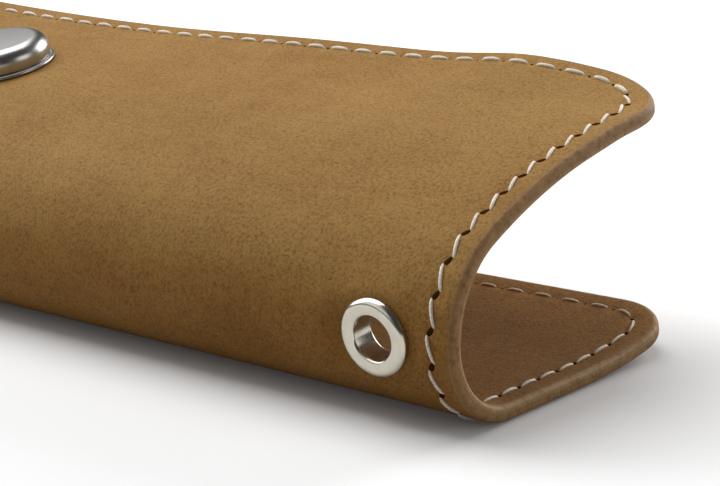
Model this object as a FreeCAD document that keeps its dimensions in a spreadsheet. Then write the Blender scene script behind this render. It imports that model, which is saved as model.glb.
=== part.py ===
"""Folded leather case for two pens, with a snap in the middle and an eyelet at one end.

X runs along the fold, Y from the fold's front towards the open edges, Z up from the table.
Every body is drawn with the fold's front at Y = 0, and its placement centres the case on Y.
"""
import FreeCAD
import Part

import math
import os

import Sketcher
from FreeCAD import Placement, Rotation, Vector

doc = FreeCAD.newDocument("pen_case")
sheet = doc.addObject("Spreadsheet::Sheet", "Sizes")


class Dim:
    """A size with its expression text and its value, so a formula is written once for both."""

    def __init__(self, text, value):
        self.text = text
        self.value = value

    def _join(self, other, sign, value):
        return Dim(f"({self.text} {sign} {other.text})", value)

    def __add__(self, other):
        return self._join(other, "+", self.value + other.value)

    def __sub__(self, other):
        return self._join(other, "-", self.value - other.value)

    def __mul__(self, other):
        return self._join(other, "*", self.value * other.value)

    def __truediv__(self, other):
        return self._join(other, "/", self.value / other.value)


def num(value):
    return Dim(str(value), value)


def cos(angle):
    return Dim(f"cos({angle.text})", math.cos(math.radians(angle.value)))


def sin(angle):
    return Dim(f"sin({angle.text})", math.sin(math.radians(angle.value)))


class Sizes:
    """The named sizes, in millimetres and degrees. Each is a cell of the spreadsheet with the same name."""

    def __init__(self):
        self.row = 1

    def put(self, name, content, value):
        cell = f"B{self.row}"
        sheet.set(f"A{self.row}", name)
        sheet.set(cell, content)
        sheet.setAlias(cell, name)
        self.row += 1
        setattr(self, name, Dim(f"Sizes.{name}", value))

    def formula(self, name, dim):
        self.put(name, "=" + dim.text.replace("Sizes.", ""), dim.value)


SIZES = {
    "case_length": 188.0,  # along the fold
    "ply_cover": 1.0,  # outer leather
    "ply_lining": 0.8,  # inner leather
    "front_radius": 9.7,  # outside of the lower bend of the fold
    "top_radius": 11.85,  # outside of the upper bend of the fold
    "top_sweep": 62.5,  # how far the upper bend turns (degrees)
    "crown_radius": 65.5,  # slow curve of the upper flap
    "crown_end": 78.4,  # where the slow curve ends and the flat edge strip starts (degrees)
    "edge_run": 20.35,  # flat strip from the slow curve to the upper edge
    "lower_flat_end": 22.4,  # where the lower flap starts to curl up
    "lower_curl_radius": 90.0,  # curl of the lower flap's edge
    "lower_curl_sweep": 12.8,  # how far that curl turns (degrees)
    "upper_corner": 12.0,  # rounded corners of the upper flap
    "lower_corner": 7.5,  # rounded corners of the lower flap
    "fold_from": 15.5,  # upper bend: start of the strip that bends as the case closes (degrees)
    "fold_to": 36.5,  # upper bend: end of that strip (degrees)
    "bend_from": 67.09,  # slow curve: start of the second strip that bends (degrees)
    "bend_to": 70.63,  # slow curve: end of that strip (degrees)

    "snap_angle": 78.4,  # where the snap sits on the slow curve (degrees)
    "snap_seat": 0.35,  # how deep the ring is pressed into the leather
    "ring_radius": 7.5,  # thin ring under the cap
    "ring_thick": 0.6,  # thin ring under the cap
    "cap_radius": 7.0,  # snap cap
    "cap_height": 2.7,  # snap cap above the ring, at its shoulder
    "cap_shoulder": 2.1,  # rounding of the cap's shoulder
    "cap_crown": 0.3,  # how far the cap's top rises to its middle
    "cap_wall": 0.5,  # sheet metal of the cap
    "cap_lip": 5.2,  # edge of the cap, turned in under the post's flange
    "cap_lip_thick": 0.35,  # edge of the cap, turned in under the post's flange
    "post_radius": 1.9,  # hollow post of the cap
    "post_bore": 1.3,  # hole up the post
    "post_flange": 6.4,  # flange of the post inside the cap
    "post_flange_thick": 0.5,  # flange of the post inside the cap
    "post_roll": 2.9,  # rolled end of the post
    "post_roll_thick": 0.5,  # rolled end of the post
    "hole_gap": 0.05,  # clearance between a post or barrel and its hole
    "socket_top": 5.9,  # socket against the leather
    "socket_end": 5.1,  # socket at its mouth
    "socket_height": 3.6,  # socket below the leather
    "socket_floor": 0.6,  # socket floor against the leather
    "socket_bore": 4.4,  # room for the spring and the stud
    "socket_mouth": 3.7,  # mouth of the socket
    "socket_lip": 0.6,  # lip that holds the spring in
    "socket_round": 0.4,  # rounding of the socket's end
    "mouth_bevel": 0.2,  # bevel of the socket's mouth
    "wire_radius": 0.25,  # spring wire
    "wire_reach": 2.45,  # spring wire to the snap's axis
    "wire_turn": 1.6,  # middle of the spring's turn to the snap's axis
    "wire_end": 3.2,  # free end of the spring to the snap's axis

    "stud_y": 23.795,  # stud under the closed socket
    "stud_seat": 0.1,  # how deep the stud is pressed into the leather
    "stud_flange": 5.2,  # stud against the leather
    "stud_flange_thick": 0.7,  # stud against the leather
    "stud_neck": 2.1,  # neck that the spring grips
    "stud_neck_top": 1.85,  # top of the neck above the leather
    "stud_head": 2.7,  # head of the stud
    "stud_head_mid": 2.25,  # widest place of the head above the leather
    "stud_round": 0.65,  # rounding of the head
    "stud_flange_round": 0.35,  # rounding of the flange
    "rivet_radius": 1.45,  # rivet post through the lower flap
    "rivet_bore": 0.9,  # hole up the rivet post
    "rivet_flange": 4.8,  # flat head of the rivet post
    "rivet_flange_thick": 0.55,  # flat head, pressed flush with the leather
    "rivet_roll": 1.95,  # rolled end of the rivet post
    "rivet_roll_thick": 0.3,  # rolled end of the rivet post
    "rivet_round": 0.3,  # rounding of the flat head

    "eyelet_end": 10.15,  # eyelet to the end of the case
    "eyelet_z": 9.1,  # eyelet above the table
    "eyelet_tip": 7.0,  # how far the eyelet faces down (degrees)
    "eyelet_flange": 4.2,  # flange on the outside
    "eyelet_edge": 0.2,  # straight edge of the flange
    "eyelet_round": 0.75,  # rounding of the flange's outside
    "eyelet_dish": 0.1,  # how far the flange falls towards its hole
    "eyelet_lip": 0.35,  # rounding of the flange into the hole
    "eyelet_bore": 2.4,  # hole through the eyelet
    "eyelet_barrel": 2.75,  # outside of the barrel
    "eyelet_seat": 0.75,  # how deep the flange is pressed into the leather
    "eyelet_back": 2.1,  # where the washer's seat is pressed to
    "eyelet_roll": 3.3,  # rolled end of the barrel
    "washer_radius": 3.7,  # washer inside
    "washer_thick": 0.5,  # washer inside
    "washer_round": 0.25,  # rounding of the washer
    "seat_gap": 0.1,  # clearance round a pressed seat
}

P = Sizes()
for name, value in SIZES.items():
    P.put(name, str(value), value)
ZERO = num(0)
RIGHT_ANGLE = num(90)
HALF = num(0.5)
# Both leathers, glued.
P.formula("ply_both", P.ply_cover + P.ply_lining)
# The rolled end is half-round in section.
P.formula("eyelet_roll_thick", (P.eyelet_roll - P.eyelet_bore) / num(2))
P.formula("half_length", P.case_length / num(2))
# The centre of the slow curve, which carries on smoothly from the upper bend.
P.formula("crown_y", P.top_radius + (P.crown_radius - P.top_radius) * cos(P.top_sweep))
P.formula("crown_z", P.front_radius - (P.crown_radius - P.top_radius) * sin(P.top_sweep))
# The snap's place on the outer surface.
P.formula("snap_y", P.crown_y - P.crown_radius * cos(P.snap_angle))
P.formula("snap_z", P.crown_z + P.crown_radius * sin(P.snap_angle))
# The whole depth runs from the eyelet, which stands out in front of the fold, to the upper edge.
P.formula("edge_y", P.crown_y - (P.crown_radius - P.ply_both) * cos(P.crown_end))
P.formula("depth", P.edge_y + P.edge_run * sin(P.crown_end))
P.formula("proud_out", P.eyelet_round + (P.eyelet_edge - P.eyelet_seat) * cos(P.eyelet_tip))
P.formula("proud", P.proud_out + (P.eyelet_flange - P.eyelet_round) * sin(P.eyelet_tip))
P.formula("middle_y", (P.depth - P.proud) / num(2))
doc.recompute()


def vec(y, z):
    return Vector(y.value, z.value, 0)


def hold_point(sketch, geometry, end, point):
    """Holds a point by its distances from the sketch's origin, or on an axis where a distance is zero."""
    for kind, axis, dim in (("DistanceX", -2, point[0]), ("DistanceY", -1, point[1])):
        if dim is ZERO:
            sketch.addConstraint(Sketcher.Constraint("PointOnObject", geometry, end, axis))
        elif dim.value < 0:
            made = sketch.addConstraint(Sketcher.Constraint(kind, geometry, end, -1, 1, -dim.value))
            sketch.setExpression(f"Constraints[{made}]", (ZERO - dim).text)
        else:
            made = sketch.addConstraint(Sketcher.Constraint(kind, -1, 1, geometry, end, dim.value))
            sketch.setExpression(f"Constraints[{made}]", dim.text)


def add_outline(sketch, points, segments, closed=True):
    """An outline. Each corner is held by its two distances, and each arc by its radius too."""
    count = len(points)
    ends = []
    for n, segment in enumerate(segments):
        start = vec(*points[n])
        stop = vec(*points[(n + 1) % count])
        if segment is None:
            sketch.addGeometry(Part.LineSegment(start, stop), False)
            ends.append((1, 2))
            continue
        centre_y, centre_z, radius = segment
        centre = Vector(centre_y.value, centre_z.value, 0)
        first = math.atan2(start.y - centre.y, start.x - centre.x)
        last = math.atan2(stop.y - centre.y, stop.x - centre.x)
        forward = (last - first) % (2 * math.pi) < math.pi
        low, high = (first, last) if forward else (last, first)
        circle = Part.Circle(centre, Vector(0, 0, 1), radius.value)
        sketch.addGeometry(Part.ArcOfCircle(circle, low, high), False)
        ends.append((1, 2) if forward else (2, 1))
    for n in range(count if closed else count - 2):
        after = (n + 1) % count
        sketch.addConstraint(Sketcher.Constraint("Coincident", n, ends[n][1], after, ends[after][0]))
    for n, point in enumerate(points):
        last = n == len(segments)
        hold_point(sketch, n - 1 if last else n, ends[n - 1][1] if last else ends[n][0], point)
    for n, segment in enumerate(segments):
        if segment is not None:
            made = sketch.addConstraint(Sketcher.Constraint("Radius", n, segment[2].value))
            sketch.setExpression(f"Constraints[{made}]", segment[2].text)


def new_body(name):
    body = doc.addObject("PartDesign::Body", name)
    body.Label = name
    return body


def new_sketch(body, plane, name):
    """A sketch on one of the body's own origin planes: 0 is XY, 1 is XZ and 2 is YZ."""
    sketch = body.newObject("Sketcher::SketchObject", name)
    sketch.AttachmentSupport = [(body.Origin.OriginFeatures[3 + plane], "")]
    sketch.MapMode = "FlatFace"
    return sketch


def add_circle(sketch, radius, x=ZERO, y=ZERO):
    """A circle held by its radius and its centre."""
    centre = Vector(x.value, y.value, 0)
    sketch.addGeometry(Part.Circle(centre, Vector(0, 0, 1), radius.value), False)
    made = sketch.addConstraint(Sketcher.Constraint("Radius", 0, radius.value))
    sketch.setExpression(f"Constraints[{made}]", radius.text)
    hold_point(sketch, 0, 3, (x, y))


def revolve(name, points, segments):
    """A turned piece: the outline is drawn as distance from the axis and height."""
    body = new_body(name)
    sketch = new_sketch(body, 1, name + "_profile")
    add_outline(sketch, points, segments)
    turned = body.newObject("PartDesign::Revolution", name + "_turned")
    turned.Profile = sketch
    turned.ReferenceAxis = (sketch, ["V_Axis"])
    turned.Angle = 360.0
    sketch.Visibility = False
    body.Tip = turned
    return body


def place(body, x, y, z, tilt):
    """Puts a body's origin at a point of the case and turns it about X by an angle in degrees."""
    body.Placement = Placement(Vector(0, 0, 0), Rotation(Vector(1, 0, 0), tilt.value))
    body.setExpression("Placement.Base.x", x.text)
    body.setExpression("Placement.Base.y", (y - P.middle_y).text)
    body.setExpression("Placement.Base.z", z.text)
    body.setExpression("Placement.Rotation.Angle", tilt.text)


# The folded leather. A station is a place along the section.
# It is a function that takes the depth below the outer surface.


def on_front(angle):
    def at(depth):
        reach = P.front_radius - depth
        return P.front_radius - reach * cos(angle), P.front_radius + reach * sin(angle)

    return at


def on_top(angle):
    def at(depth):
        reach = P.top_radius - depth
        return P.top_radius - reach * cos(angle), P.front_radius + reach * sin(angle)

    return at


def on_crown(angle):
    def at(depth):
        reach = P.crown_radius - depth
        return P.crown_y - reach * cos(angle), P.crown_z + reach * sin(angle)

    return at


def lower_edge(depth):
    reach = P.lower_curl_radius - depth
    up = P.lower_curl_radius - reach * cos(P.lower_curl_sweep)
    return P.lower_flat_end + reach * sin(P.lower_curl_sweep), up


def lower_flat(depth):
    return P.lower_flat_end, depth


def front_foot(depth):
    return P.front_radius, depth


def front_top(depth):
    return depth, P.front_radius


def upper_edge(depth):
    y, z = on_crown(P.crown_end)(depth)
    return y + P.edge_run * sin(P.crown_end), z + P.edge_run * cos(P.crown_end)


CURL = (P.lower_flat_end, P.lower_curl_radius, P.lower_curl_radius)
FRONT = (P.front_radius, P.front_radius, P.front_radius)
TOP = (P.top_radius, P.front_radius, P.top_radius)
CROWN = (P.crown_y, P.crown_z, P.crown_radius)
STRETCHES = {
    "floor": ([lower_edge, lower_flat, front_foot], [CURL, None]),
    "wall": ([front_foot, front_top, on_top(P.fold_from)], [FRONT, TOP]),
    "fold": ([on_top(P.fold_from), on_top(P.fold_to)], [TOP]),
    "roll": ([on_top(P.fold_to), on_top(P.top_sweep), on_crown(P.bend_from)], [TOP, CROWN]),
    "bend": ([on_crown(P.bend_from), on_crown(P.bend_to)], [CROWN]),
    "panel": ([on_crown(P.bend_to), on_crown(P.crown_end), upper_edge], [CROWN, None]),
}


def leather(name, stretch, outside, inside):
    """One layer of one stretch of the fold, between two depths below the outer surface, padded along X."""
    stations, arcs = STRETCHES[stretch]
    points = [station(outside) for station in stations]
    points += [station(inside) for station in reversed(stations)]

    def lowered(arc, depth):
        if arc is None or depth is ZERO:
            return arc
        return arc[0], arc[1], arc[2] - depth

    segments = [lowered(arc, outside) for arc in arcs] + [None]
    segments += [lowered(arc, inside) for arc in reversed(arcs)] + [None]
    body = new_body(name)
    sketch = new_sketch(body, 2, name + "_section")
    add_outline(sketch, points, segments)
    pad = body.newObject("PartDesign::Pad", name + "_pad")
    pad.Profile = sketch
    pad.setExpression("Length", "Sizes.case_length")
    pad.Midplane = True
    sketch.Visibility = False
    body.Tip = pad
    body.setExpression("Placement.Base.y", "-Sizes.middle_y")
    doc.recompute()
    return body


def round_corners(body, station, radius):
    """Rounds the two corners of a flap, whose edges run through the leather at the flap's free edge."""
    pad = body.Tip
    y, z = (dim.value for dim in station(P.ply_cover))
    half = P.half_length.value
    found = []
    for n, edge in enumerate(pad.Shape.Edges):
        ends = [vertex.Point for vertex in edge.Vertexes]
        at_end = all(abs(abs(point.x) - half) < 1e-6 for point in ends)
        near = min(math.hypot(point.y - y, point.z - z) for point in ends) < 1e-6
        short = edge.Length < 2 * P.ply_both.value
        across = len(ends) == 2 and ends[0].x * ends[1].x > 0
        straight = edge.Curve.TypeId == "Part::GeomLine"
        if at_end and near and short and across and straight:
            found.append(f"Edge{n + 1}")
    rounded = body.newObject("PartDesign::Fillet", body.Label + "_corners")
    rounded.Base = (pad, found)
    rounded.setExpression("Radius", radius.text)
    body.Tip = rounded
    doc.recompute()


def cut_round(body, name, plane, radius, x=ZERO, y=ZERO, depth=None, back=False):
    """A round cut from an origin plane: right through both ways, or to a depth."""
    sketch = new_sketch(body, plane, name + "_circle")
    add_circle(sketch, radius, x, y)
    pocket = body.newObject("PartDesign::Pocket", name)
    pocket.Profile = sketch
    if depth is None:
        pocket.Type = "ThroughAll"
        pocket.Midplane = True
    else:
        pocket.Type = "Length"
        pocket.setExpression("Length", depth.text)
        pocket.Reversed = back
    sketch.Visibility = False
    body.Tip = pocket
    doc.recompute()
    return sketch, pocket


LAYERS = {"cover": (ZERO, P.ply_cover), "lining": (P.ply_cover, P.ply_both)}
made = {}
for stretch in STRETCHES:
    for layer, (outside, inside) in LAYERS.items():
        made[layer, stretch] = leather(f"{layer}_{stretch}", stretch, outside, inside)
for layer in LAYERS:
    round_corners(made[layer, "floor"], lower_edge, P.lower_corner)
    round_corners(made[layer, "panel"], upper_edge, P.upper_corner)


def behind_eyelet(depth):
    """The place on the eyelet's axis at a depth behind the fold's front."""
    return depth * cos(P.eyelet_tip), P.eyelet_z + depth * sin(P.eyelet_tip)


def tilt_to_eyelet(sketch, depth):
    """Moves a sketch to a depth on the eyelet's axis, square to that axis."""
    y, z = behind_eyelet(depth)
    tilt = Rotation(Vector(1, 0, 0), P.eyelet_tip.value)
    sketch.AttachmentOffset = Placement(Vector(0, 0, 0), tilt)
    sketch.setExpression("AttachmentOffset.Base.y", z.text)
    sketch.setExpression("AttachmentOffset.Base.z", (ZERO - y).text)
    sketch.setExpression("AttachmentOffset.Rotation.Angle", P.eyelet_tip.text)


eyelet_x = P.half_length - P.eyelet_end
barrel_hole = P.eyelet_barrel + P.hole_gap
flange_seat = P.eyelet_flange + P.seat_gap
washer_seat = P.washer_radius + P.seat_gap
rivet_hole = P.rivet_radius + P.hole_gap
rivet_room = P.rivet_flange + P.seat_gap
stud_room = P.stud_flange + P.seat_gap
for layer in LAYERS:
    hole, _ = cut_round(made[layer, "wall"], f"{layer}_eyelet_hole", 1, barrel_hole, eyelet_x)
    tilt_to_eyelet(hole, ZERO)
    cut_round(made[layer, "floor"], f"{layer}_rivet_hole", 0, rivet_hole, ZERO, P.stud_y)
seat, _ = cut_round(
    made["cover", "wall"], "eyelet_front_seat", 1, flange_seat, eyelet_x, ZERO, P.eyelet_seat
)
tilt_to_eyelet(seat, ZERO)
for layer, stretch in (("cover", "wall"), ("lining", "wall"), ("lining", "fold")):
    name = f"{layer}_{stretch}_washer_seat"
    seat, _ = cut_round(made[layer, stretch], name, 1, washer_seat, eyelet_x, ZERO, P.front_radius / num(2))
    tilt_to_eyelet(seat, P.eyelet_back)
cut_round(
    made["cover", "floor"], "rivet_seat", 0, rivet_room, ZERO, P.stud_y, P.rivet_flange_thick, True
)
seat, _ = cut_round(
    made["lining", "floor"], "stud_seat", 0, stud_room, ZERO, P.stud_y, P.stud_flange_thick, True
)
stud_z = P.ply_both - P.stud_seat
seat.setExpression("AttachmentOffset.Base.z", stud_z.text)


def above_flap(height):
    """The place on the snap's axis at a height above the leather's outer surface."""
    return P.snap_y - height * cos(P.snap_angle), P.snap_z + height * sin(P.snap_angle)


def tilt_to_snap(sketch, height):
    """Moves a sketch to a height on the snap's axis, square to the leather there."""
    y, z = above_flap(height)
    tilt = Rotation(Vector(1, 0, 0), 90 - P.snap_angle.value)
    sketch.AttachmentOffset = Placement(Vector(0, 0, 0), tilt)
    sketch.setExpression("AttachmentOffset.Base.y", y.text)
    sketch.setExpression("AttachmentOffset.Base.z", z.text)
    sketch.setExpression("AttachmentOffset.Rotation.Angle", (RIGHT_ANGLE - P.snap_angle).text)


for layer in LAYERS:
    hole, _ = cut_round(made[layer, "panel"], f"{layer}_post_hole", 0, P.post_radius + P.hole_gap)
    tilt_to_snap(hole, ZERO)
ring_room = P.ring_radius + P.seat_gap
seat, _ = cut_round(made["cover", "panel"], "ring_seat", 0, ring_room, ZERO, ZERO, P.snap_seat)
tilt_to_snap(seat, ZERO)
socket_room = P.socket_top + P.seat_gap
seat, _ = cut_round(made["lining", "panel"], "socket_seat", 0, socket_room, ZERO, ZERO, P.socket_floor)
tilt_to_snap(seat, ZERO - P.ply_both)

# The snap's upper half. Heights are counted from the lowest plane of each piece, along the snap's axis.


def on_flap(body, height):
    """Puts a turned piece on the snap's axis, at a height above the leather's outer surface."""
    y, z = above_flap(height)
    place(body, ZERO, y, z, RIGHT_ANGLE - P.snap_angle)


post_hole = P.post_radius + P.hole_gap
ring_edge = P.ring_radius - P.ring_thick * HALF
ring_mid = P.ring_thick * HALF
ring = revolve(
    "snap_ring",
    [
        (post_hole, ZERO),
        (ring_edge, ZERO),
        (P.ring_radius, ring_mid),
        (ring_edge, P.ring_thick),
        (post_hole, P.ring_thick),
    ],
    [None, (ring_edge, ring_mid, ring_mid), (ring_edge, ring_mid, ring_mid), None, None],
)
on_flap(ring, ZERO - P.snap_seat)

shoulder_r = P.cap_radius - P.cap_shoulder
shoulder_z = P.cap_height - P.cap_shoulder
cap_in = P.cap_radius - P.cap_wall
shoulder_in = P.cap_shoulder - P.cap_wall
ceiling = P.cap_height - P.cap_wall
crown_r = (shoulder_r * shoulder_r + P.cap_crown * P.cap_crown) / (num(2) * P.cap_crown)
crown_mid = P.cap_height + P.cap_crown - crown_r
cap = revolve(
    "snap_cap",
    [
        (P.cap_radius, ZERO),
        (P.cap_radius, shoulder_z),
        (shoulder_r, P.cap_height),
        (ZERO, P.cap_height + P.cap_crown),
        (ZERO, ceiling),
        (shoulder_r, ceiling),
        (cap_in, shoulder_z),
        (cap_in, P.cap_lip_thick),
        (P.cap_lip, P.cap_lip_thick),
        (P.cap_lip, ZERO),
    ],
    [
        None,
        (shoulder_r, shoulder_z, P.cap_shoulder),
        (ZERO, crown_mid, crown_r),
        None,
        None,
        (shoulder_r, shoulder_z, shoulder_in),
        None,
        None,
        None,
        None,
    ],
)
on_flap(cap, P.ring_thick - P.snap_seat)

under_flap = P.ply_both + P.socket_floor + P.post_roll_thick
flange_z = under_flap + P.ring_thick - P.snap_seat + P.cap_lip_thick
roll_r = P.post_roll - P.post_roll_thick
post = revolve(
    "snap_post",
    [
        (P.post_bore, ZERO),
        (roll_r, ZERO),
        (P.post_roll, P.post_roll_thick),
        (P.post_radius, P.post_roll_thick),
        (P.post_radius, flange_z),
        (P.post_flange, flange_z),
        (P.post_flange, flange_z + P.post_flange_thick),
        (ZERO, flange_z + P.post_flange_thick),
        (ZERO, flange_z),
        (P.post_bore, flange_z),
    ],
    [None, (roll_r, P.post_roll_thick, P.post_roll_thick), None, None, None, None, None, None, None, None],
)
on_flap(post, ZERO - under_flap)

socket_foot = P.socket_height - P.socket_floor
end_r = P.socket_end - P.socket_round
socket = revolve(
    "snap_socket",
    [
        (P.socket_mouth + P.mouth_bevel, ZERO),
        (end_r, ZERO),
        (P.socket_end, P.socket_round),
        (P.socket_top, P.socket_height),
        (post_hole, P.socket_height),
        (post_hole, socket_foot),
        (P.socket_bore, socket_foot),
        (P.socket_bore, P.socket_lip),
        (P.socket_mouth, P.socket_lip),
        (P.socket_mouth, P.mouth_bevel),
    ],
    [None, (end_r, P.socket_round, P.socket_round), None, None, None, None, None, None, None, None],
)
on_flap(socket, ZERO - P.ply_both - P.socket_height)

spring = new_body("snap_spring")
spring_path = new_sketch(spring, 0, "snap_spring_path")
back = ZERO - P.wire_turn
path_points = [
    (P.wire_end, P.wire_reach),
    (back, P.wire_reach),
    (back - P.wire_reach, ZERO),
    (back, ZERO - P.wire_reach),
    (P.wire_end, ZERO - P.wire_reach),
]
turn = (back, ZERO, P.wire_reach)
add_outline(spring_path, path_points, [None, turn, turn, None], closed=False)
spring_wire = new_sketch(spring, 2, "snap_spring_wire")
add_circle(spring_wire, P.wire_radius, P.wire_reach)
spring_wire.setExpression("AttachmentOffset.Base.z", "Sizes.wire_end")
spring_pipe = spring.newObject("PartDesign::AdditivePipe", "snap_spring_pipe")
spring_pipe.Profile = spring_wire
spring_pipe.Spine = (spring_path, ["Edge1", "Edge2", "Edge3", "Edge4"])
spring.Tip = spring_pipe
on_flap(spring, P.socket_lip + P.wire_radius - P.ply_both - P.socket_height)

# The snap's lower half, on the lower flap, and the eyelet in the front wall.
stud_top = P.stud_head_mid + P.stud_round
stud_flat = P.stud_head - P.stud_round
stud_edge = P.stud_flange - P.stud_flange_round
stud_side = P.stud_flange_thick - P.stud_flange_round
stud = revolve(
    "snap_stud",
    [
        (rivet_hole, ZERO),
        (P.stud_flange, ZERO),
        (P.stud_flange, stud_side),
        (stud_edge, P.stud_flange_thick),
        (P.stud_neck, P.stud_flange_thick),
        (P.stud_neck, P.stud_neck_top),
        (P.stud_head, P.stud_head_mid),
        (stud_flat, stud_top),
        (rivet_hole, stud_top),
    ],
    [
        None,
        None,
        (stud_edge, stud_side, P.stud_flange_round),
        None,
        None,
        None,
        (stud_flat, P.stud_head_mid, P.stud_round),
        None,
        None,
    ],
)
place(stud, ZERO, P.stud_y, stud_z, ZERO)

rivet_top = stud_z + stud_top
rivet_end = P.rivet_roll - P.rivet_roll_thick
rivet_edge = P.rivet_flange - P.rivet_round
rivet = revolve(
    "stud_post",
    [
        (ZERO, ZERO),
        (rivet_edge, ZERO),
        (P.rivet_flange, P.rivet_round),
        (P.rivet_flange, P.rivet_flange_thick),
        (P.rivet_radius, P.rivet_flange_thick),
        (P.rivet_radius, rivet_top),
        (P.rivet_roll, rivet_top),
        (rivet_end, rivet_top + P.rivet_roll_thick),
        (P.rivet_bore, rivet_top + P.rivet_roll_thick),
        (P.rivet_bore, P.rivet_flange_thick),
        (ZERO, P.rivet_flange_thick),
    ],
    [
        None,
        (rivet_edge, P.rivet_round, P.rivet_round),
        None,
        None,
        None,
        None,
        (rivet_end, rivet_top, P.rivet_roll_thick),
        None,
        None,
        None,
        None,
    ],
)
place(rivet, ZERO, P.stud_y, ZERO, ZERO)

seat_z = P.eyelet_roll_thick + P.washer_thick + P.eyelet_back - P.eyelet_seat
crest_r = P.eyelet_flange - P.eyelet_round
edge_z = seat_z + P.eyelet_edge
crest_z = edge_z + P.eyelet_round
lip_r = P.eyelet_bore + P.eyelet_lip
lip_z = crest_z - P.eyelet_dish - P.eyelet_lip
curl_r = P.eyelet_bore + P.eyelet_roll_thick
curl = (curl_r, P.eyelet_roll_thick, P.eyelet_roll_thick)
eyelet = revolve(
    "eyelet",
    [
        (P.eyelet_bore, P.eyelet_roll_thick),
        (curl_r, ZERO),
        (P.eyelet_roll, P.eyelet_roll_thick),
        (P.eyelet_barrel, P.eyelet_roll_thick),
        (P.eyelet_barrel, seat_z),
        (P.eyelet_flange, seat_z),
        (P.eyelet_flange, edge_z),
        (crest_r, crest_z),
        (lip_r, lip_z + P.eyelet_lip),
        (P.eyelet_bore, lip_z),
    ],
    [
        curl,
        curl,
        None,
        None,
        None,
        None,
        (crest_r, edge_z, P.eyelet_round),
        None,
        (lip_r, lip_z, P.eyelet_lip),
        None,
    ],
)


def in_fold(body, depth):
    """Puts a turned piece on the eyelet's axis, with its lowest plane at a depth behind the fold's front."""
    y, z = behind_eyelet(depth)
    place(body, eyelet_x, y, z, RIGHT_ANGLE + P.eyelet_tip)


in_fold(eyelet, P.eyelet_back + P.washer_thick + P.eyelet_roll_thick)

washer_edge = P.washer_radius - P.washer_round
washer = revolve(
    "eyelet_washer",
    [
        (barrel_hole, ZERO),
        (washer_edge, ZERO),
        (P.washer_radius, P.washer_round),
        (P.washer_radius, P.washer_thick),
        (barrel_hole, P.washer_thick),
    ],
    [None, (washer_edge, P.washer_round, P.washer_round), None, None, None],
)
in_fold(washer, P.eyelet_back + P.washer_thick)

doc.recompute()
for item in doc.Objects:
    if "Invalid" in item.State or "Error" in item.State:
        raise RuntimeError(f"{item.Name} did not build: {item.State}")
os.makedirs("parts", exist_ok=True)
for item in doc.Objects:
    if item.TypeId != "PartDesign::Body":
        continue
    if item.Shape.isNull() or not item.Shape.isValid():
        raise RuntimeError(f"{item.Label} has no valid shape")
    if len(item.Shape.Solids) != 1:
        raise RuntimeError(f"{item.Label} isn't one solid")
    item.Shape.exportStep(f"parts/{item.Label}.step")
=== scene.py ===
"""Folded leather pen case: two glued leathers, stitching all round, a snap and an eyelet.

Sizes are in millimetres until a mesh is made. A place on the leather is given by x, along the
fold, and by t, the way across the sheet from the lower flap's edge, round the fold, to the
upper flap's edge.
"""

import math

import bmesh
import bpy
import numpy as np
from mathutils import Matrix, Vector


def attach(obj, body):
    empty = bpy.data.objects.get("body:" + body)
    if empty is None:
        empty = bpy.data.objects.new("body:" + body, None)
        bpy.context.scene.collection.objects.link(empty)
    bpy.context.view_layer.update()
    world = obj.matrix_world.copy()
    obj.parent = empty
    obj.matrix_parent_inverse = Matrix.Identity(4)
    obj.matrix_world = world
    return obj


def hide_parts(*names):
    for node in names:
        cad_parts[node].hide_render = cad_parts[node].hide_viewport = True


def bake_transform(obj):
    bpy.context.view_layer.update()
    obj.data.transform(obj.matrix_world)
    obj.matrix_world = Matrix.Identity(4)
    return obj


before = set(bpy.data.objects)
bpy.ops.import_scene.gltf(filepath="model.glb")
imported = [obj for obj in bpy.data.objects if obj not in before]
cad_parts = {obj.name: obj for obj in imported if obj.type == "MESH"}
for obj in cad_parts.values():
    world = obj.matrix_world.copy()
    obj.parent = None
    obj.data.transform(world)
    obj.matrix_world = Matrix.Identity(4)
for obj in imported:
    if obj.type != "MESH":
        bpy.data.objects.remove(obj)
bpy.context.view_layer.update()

MM = 0.001
HALF_LENGTH = 94.0
LEATHER = 1.8  # cover and lining together
COVER = 1.0
MIDDLE_Y = 21.562  # from the front of the fold to the middle of the case
LOWER_CORNER = 7.5
UPPER_CORNER = 12.0
STITCH_INSET = 2.8
END_PITCH = 3.35  # between stitches on the two ends and in the corners
SIDE_PITCH = 3.95  # between stitches along the two open edges

# The section: the curled floor, the front and the top of the fold, the slow crown and the edge.
FLOOR_END = 22.4
CURL_R = 90.0
CURL_SWEEP = 12.8
FRONT_R = 9.7
TOP_R = 11.85
TOP_SWEEP = 62.5
CROWN_R = 65.5
CROWN_END = 78.4
EDGE_LENGTH = 20.35
SEAM_ANGLE = 64.0  # on the crown, where the lower half of the sheet meets the upper half
SNAP_ANGLE = 78.4

CROWN_Y = TOP_R + (CROWN_R - TOP_R) * math.cos(math.radians(TOP_SWEEP))
CROWN_Z = FRONT_R - (CROWN_R - TOP_R) * math.sin(math.radians(TOP_SWEEP))
SNAP_Y = CROWN_Y - CROWN_R * math.cos(math.radians(SNAP_ANGLE))
SNAP_Z = CROWN_Z + CROWN_R * math.sin(math.radians(SNAP_ANGLE))
STUD_Y = 23.795
STUD_Z = 1.7
EYELET_X = 83.85
EYELET_Z = 9.1
EYELET_TIP = 7.0

rng = np.random.default_rng(20)


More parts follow.
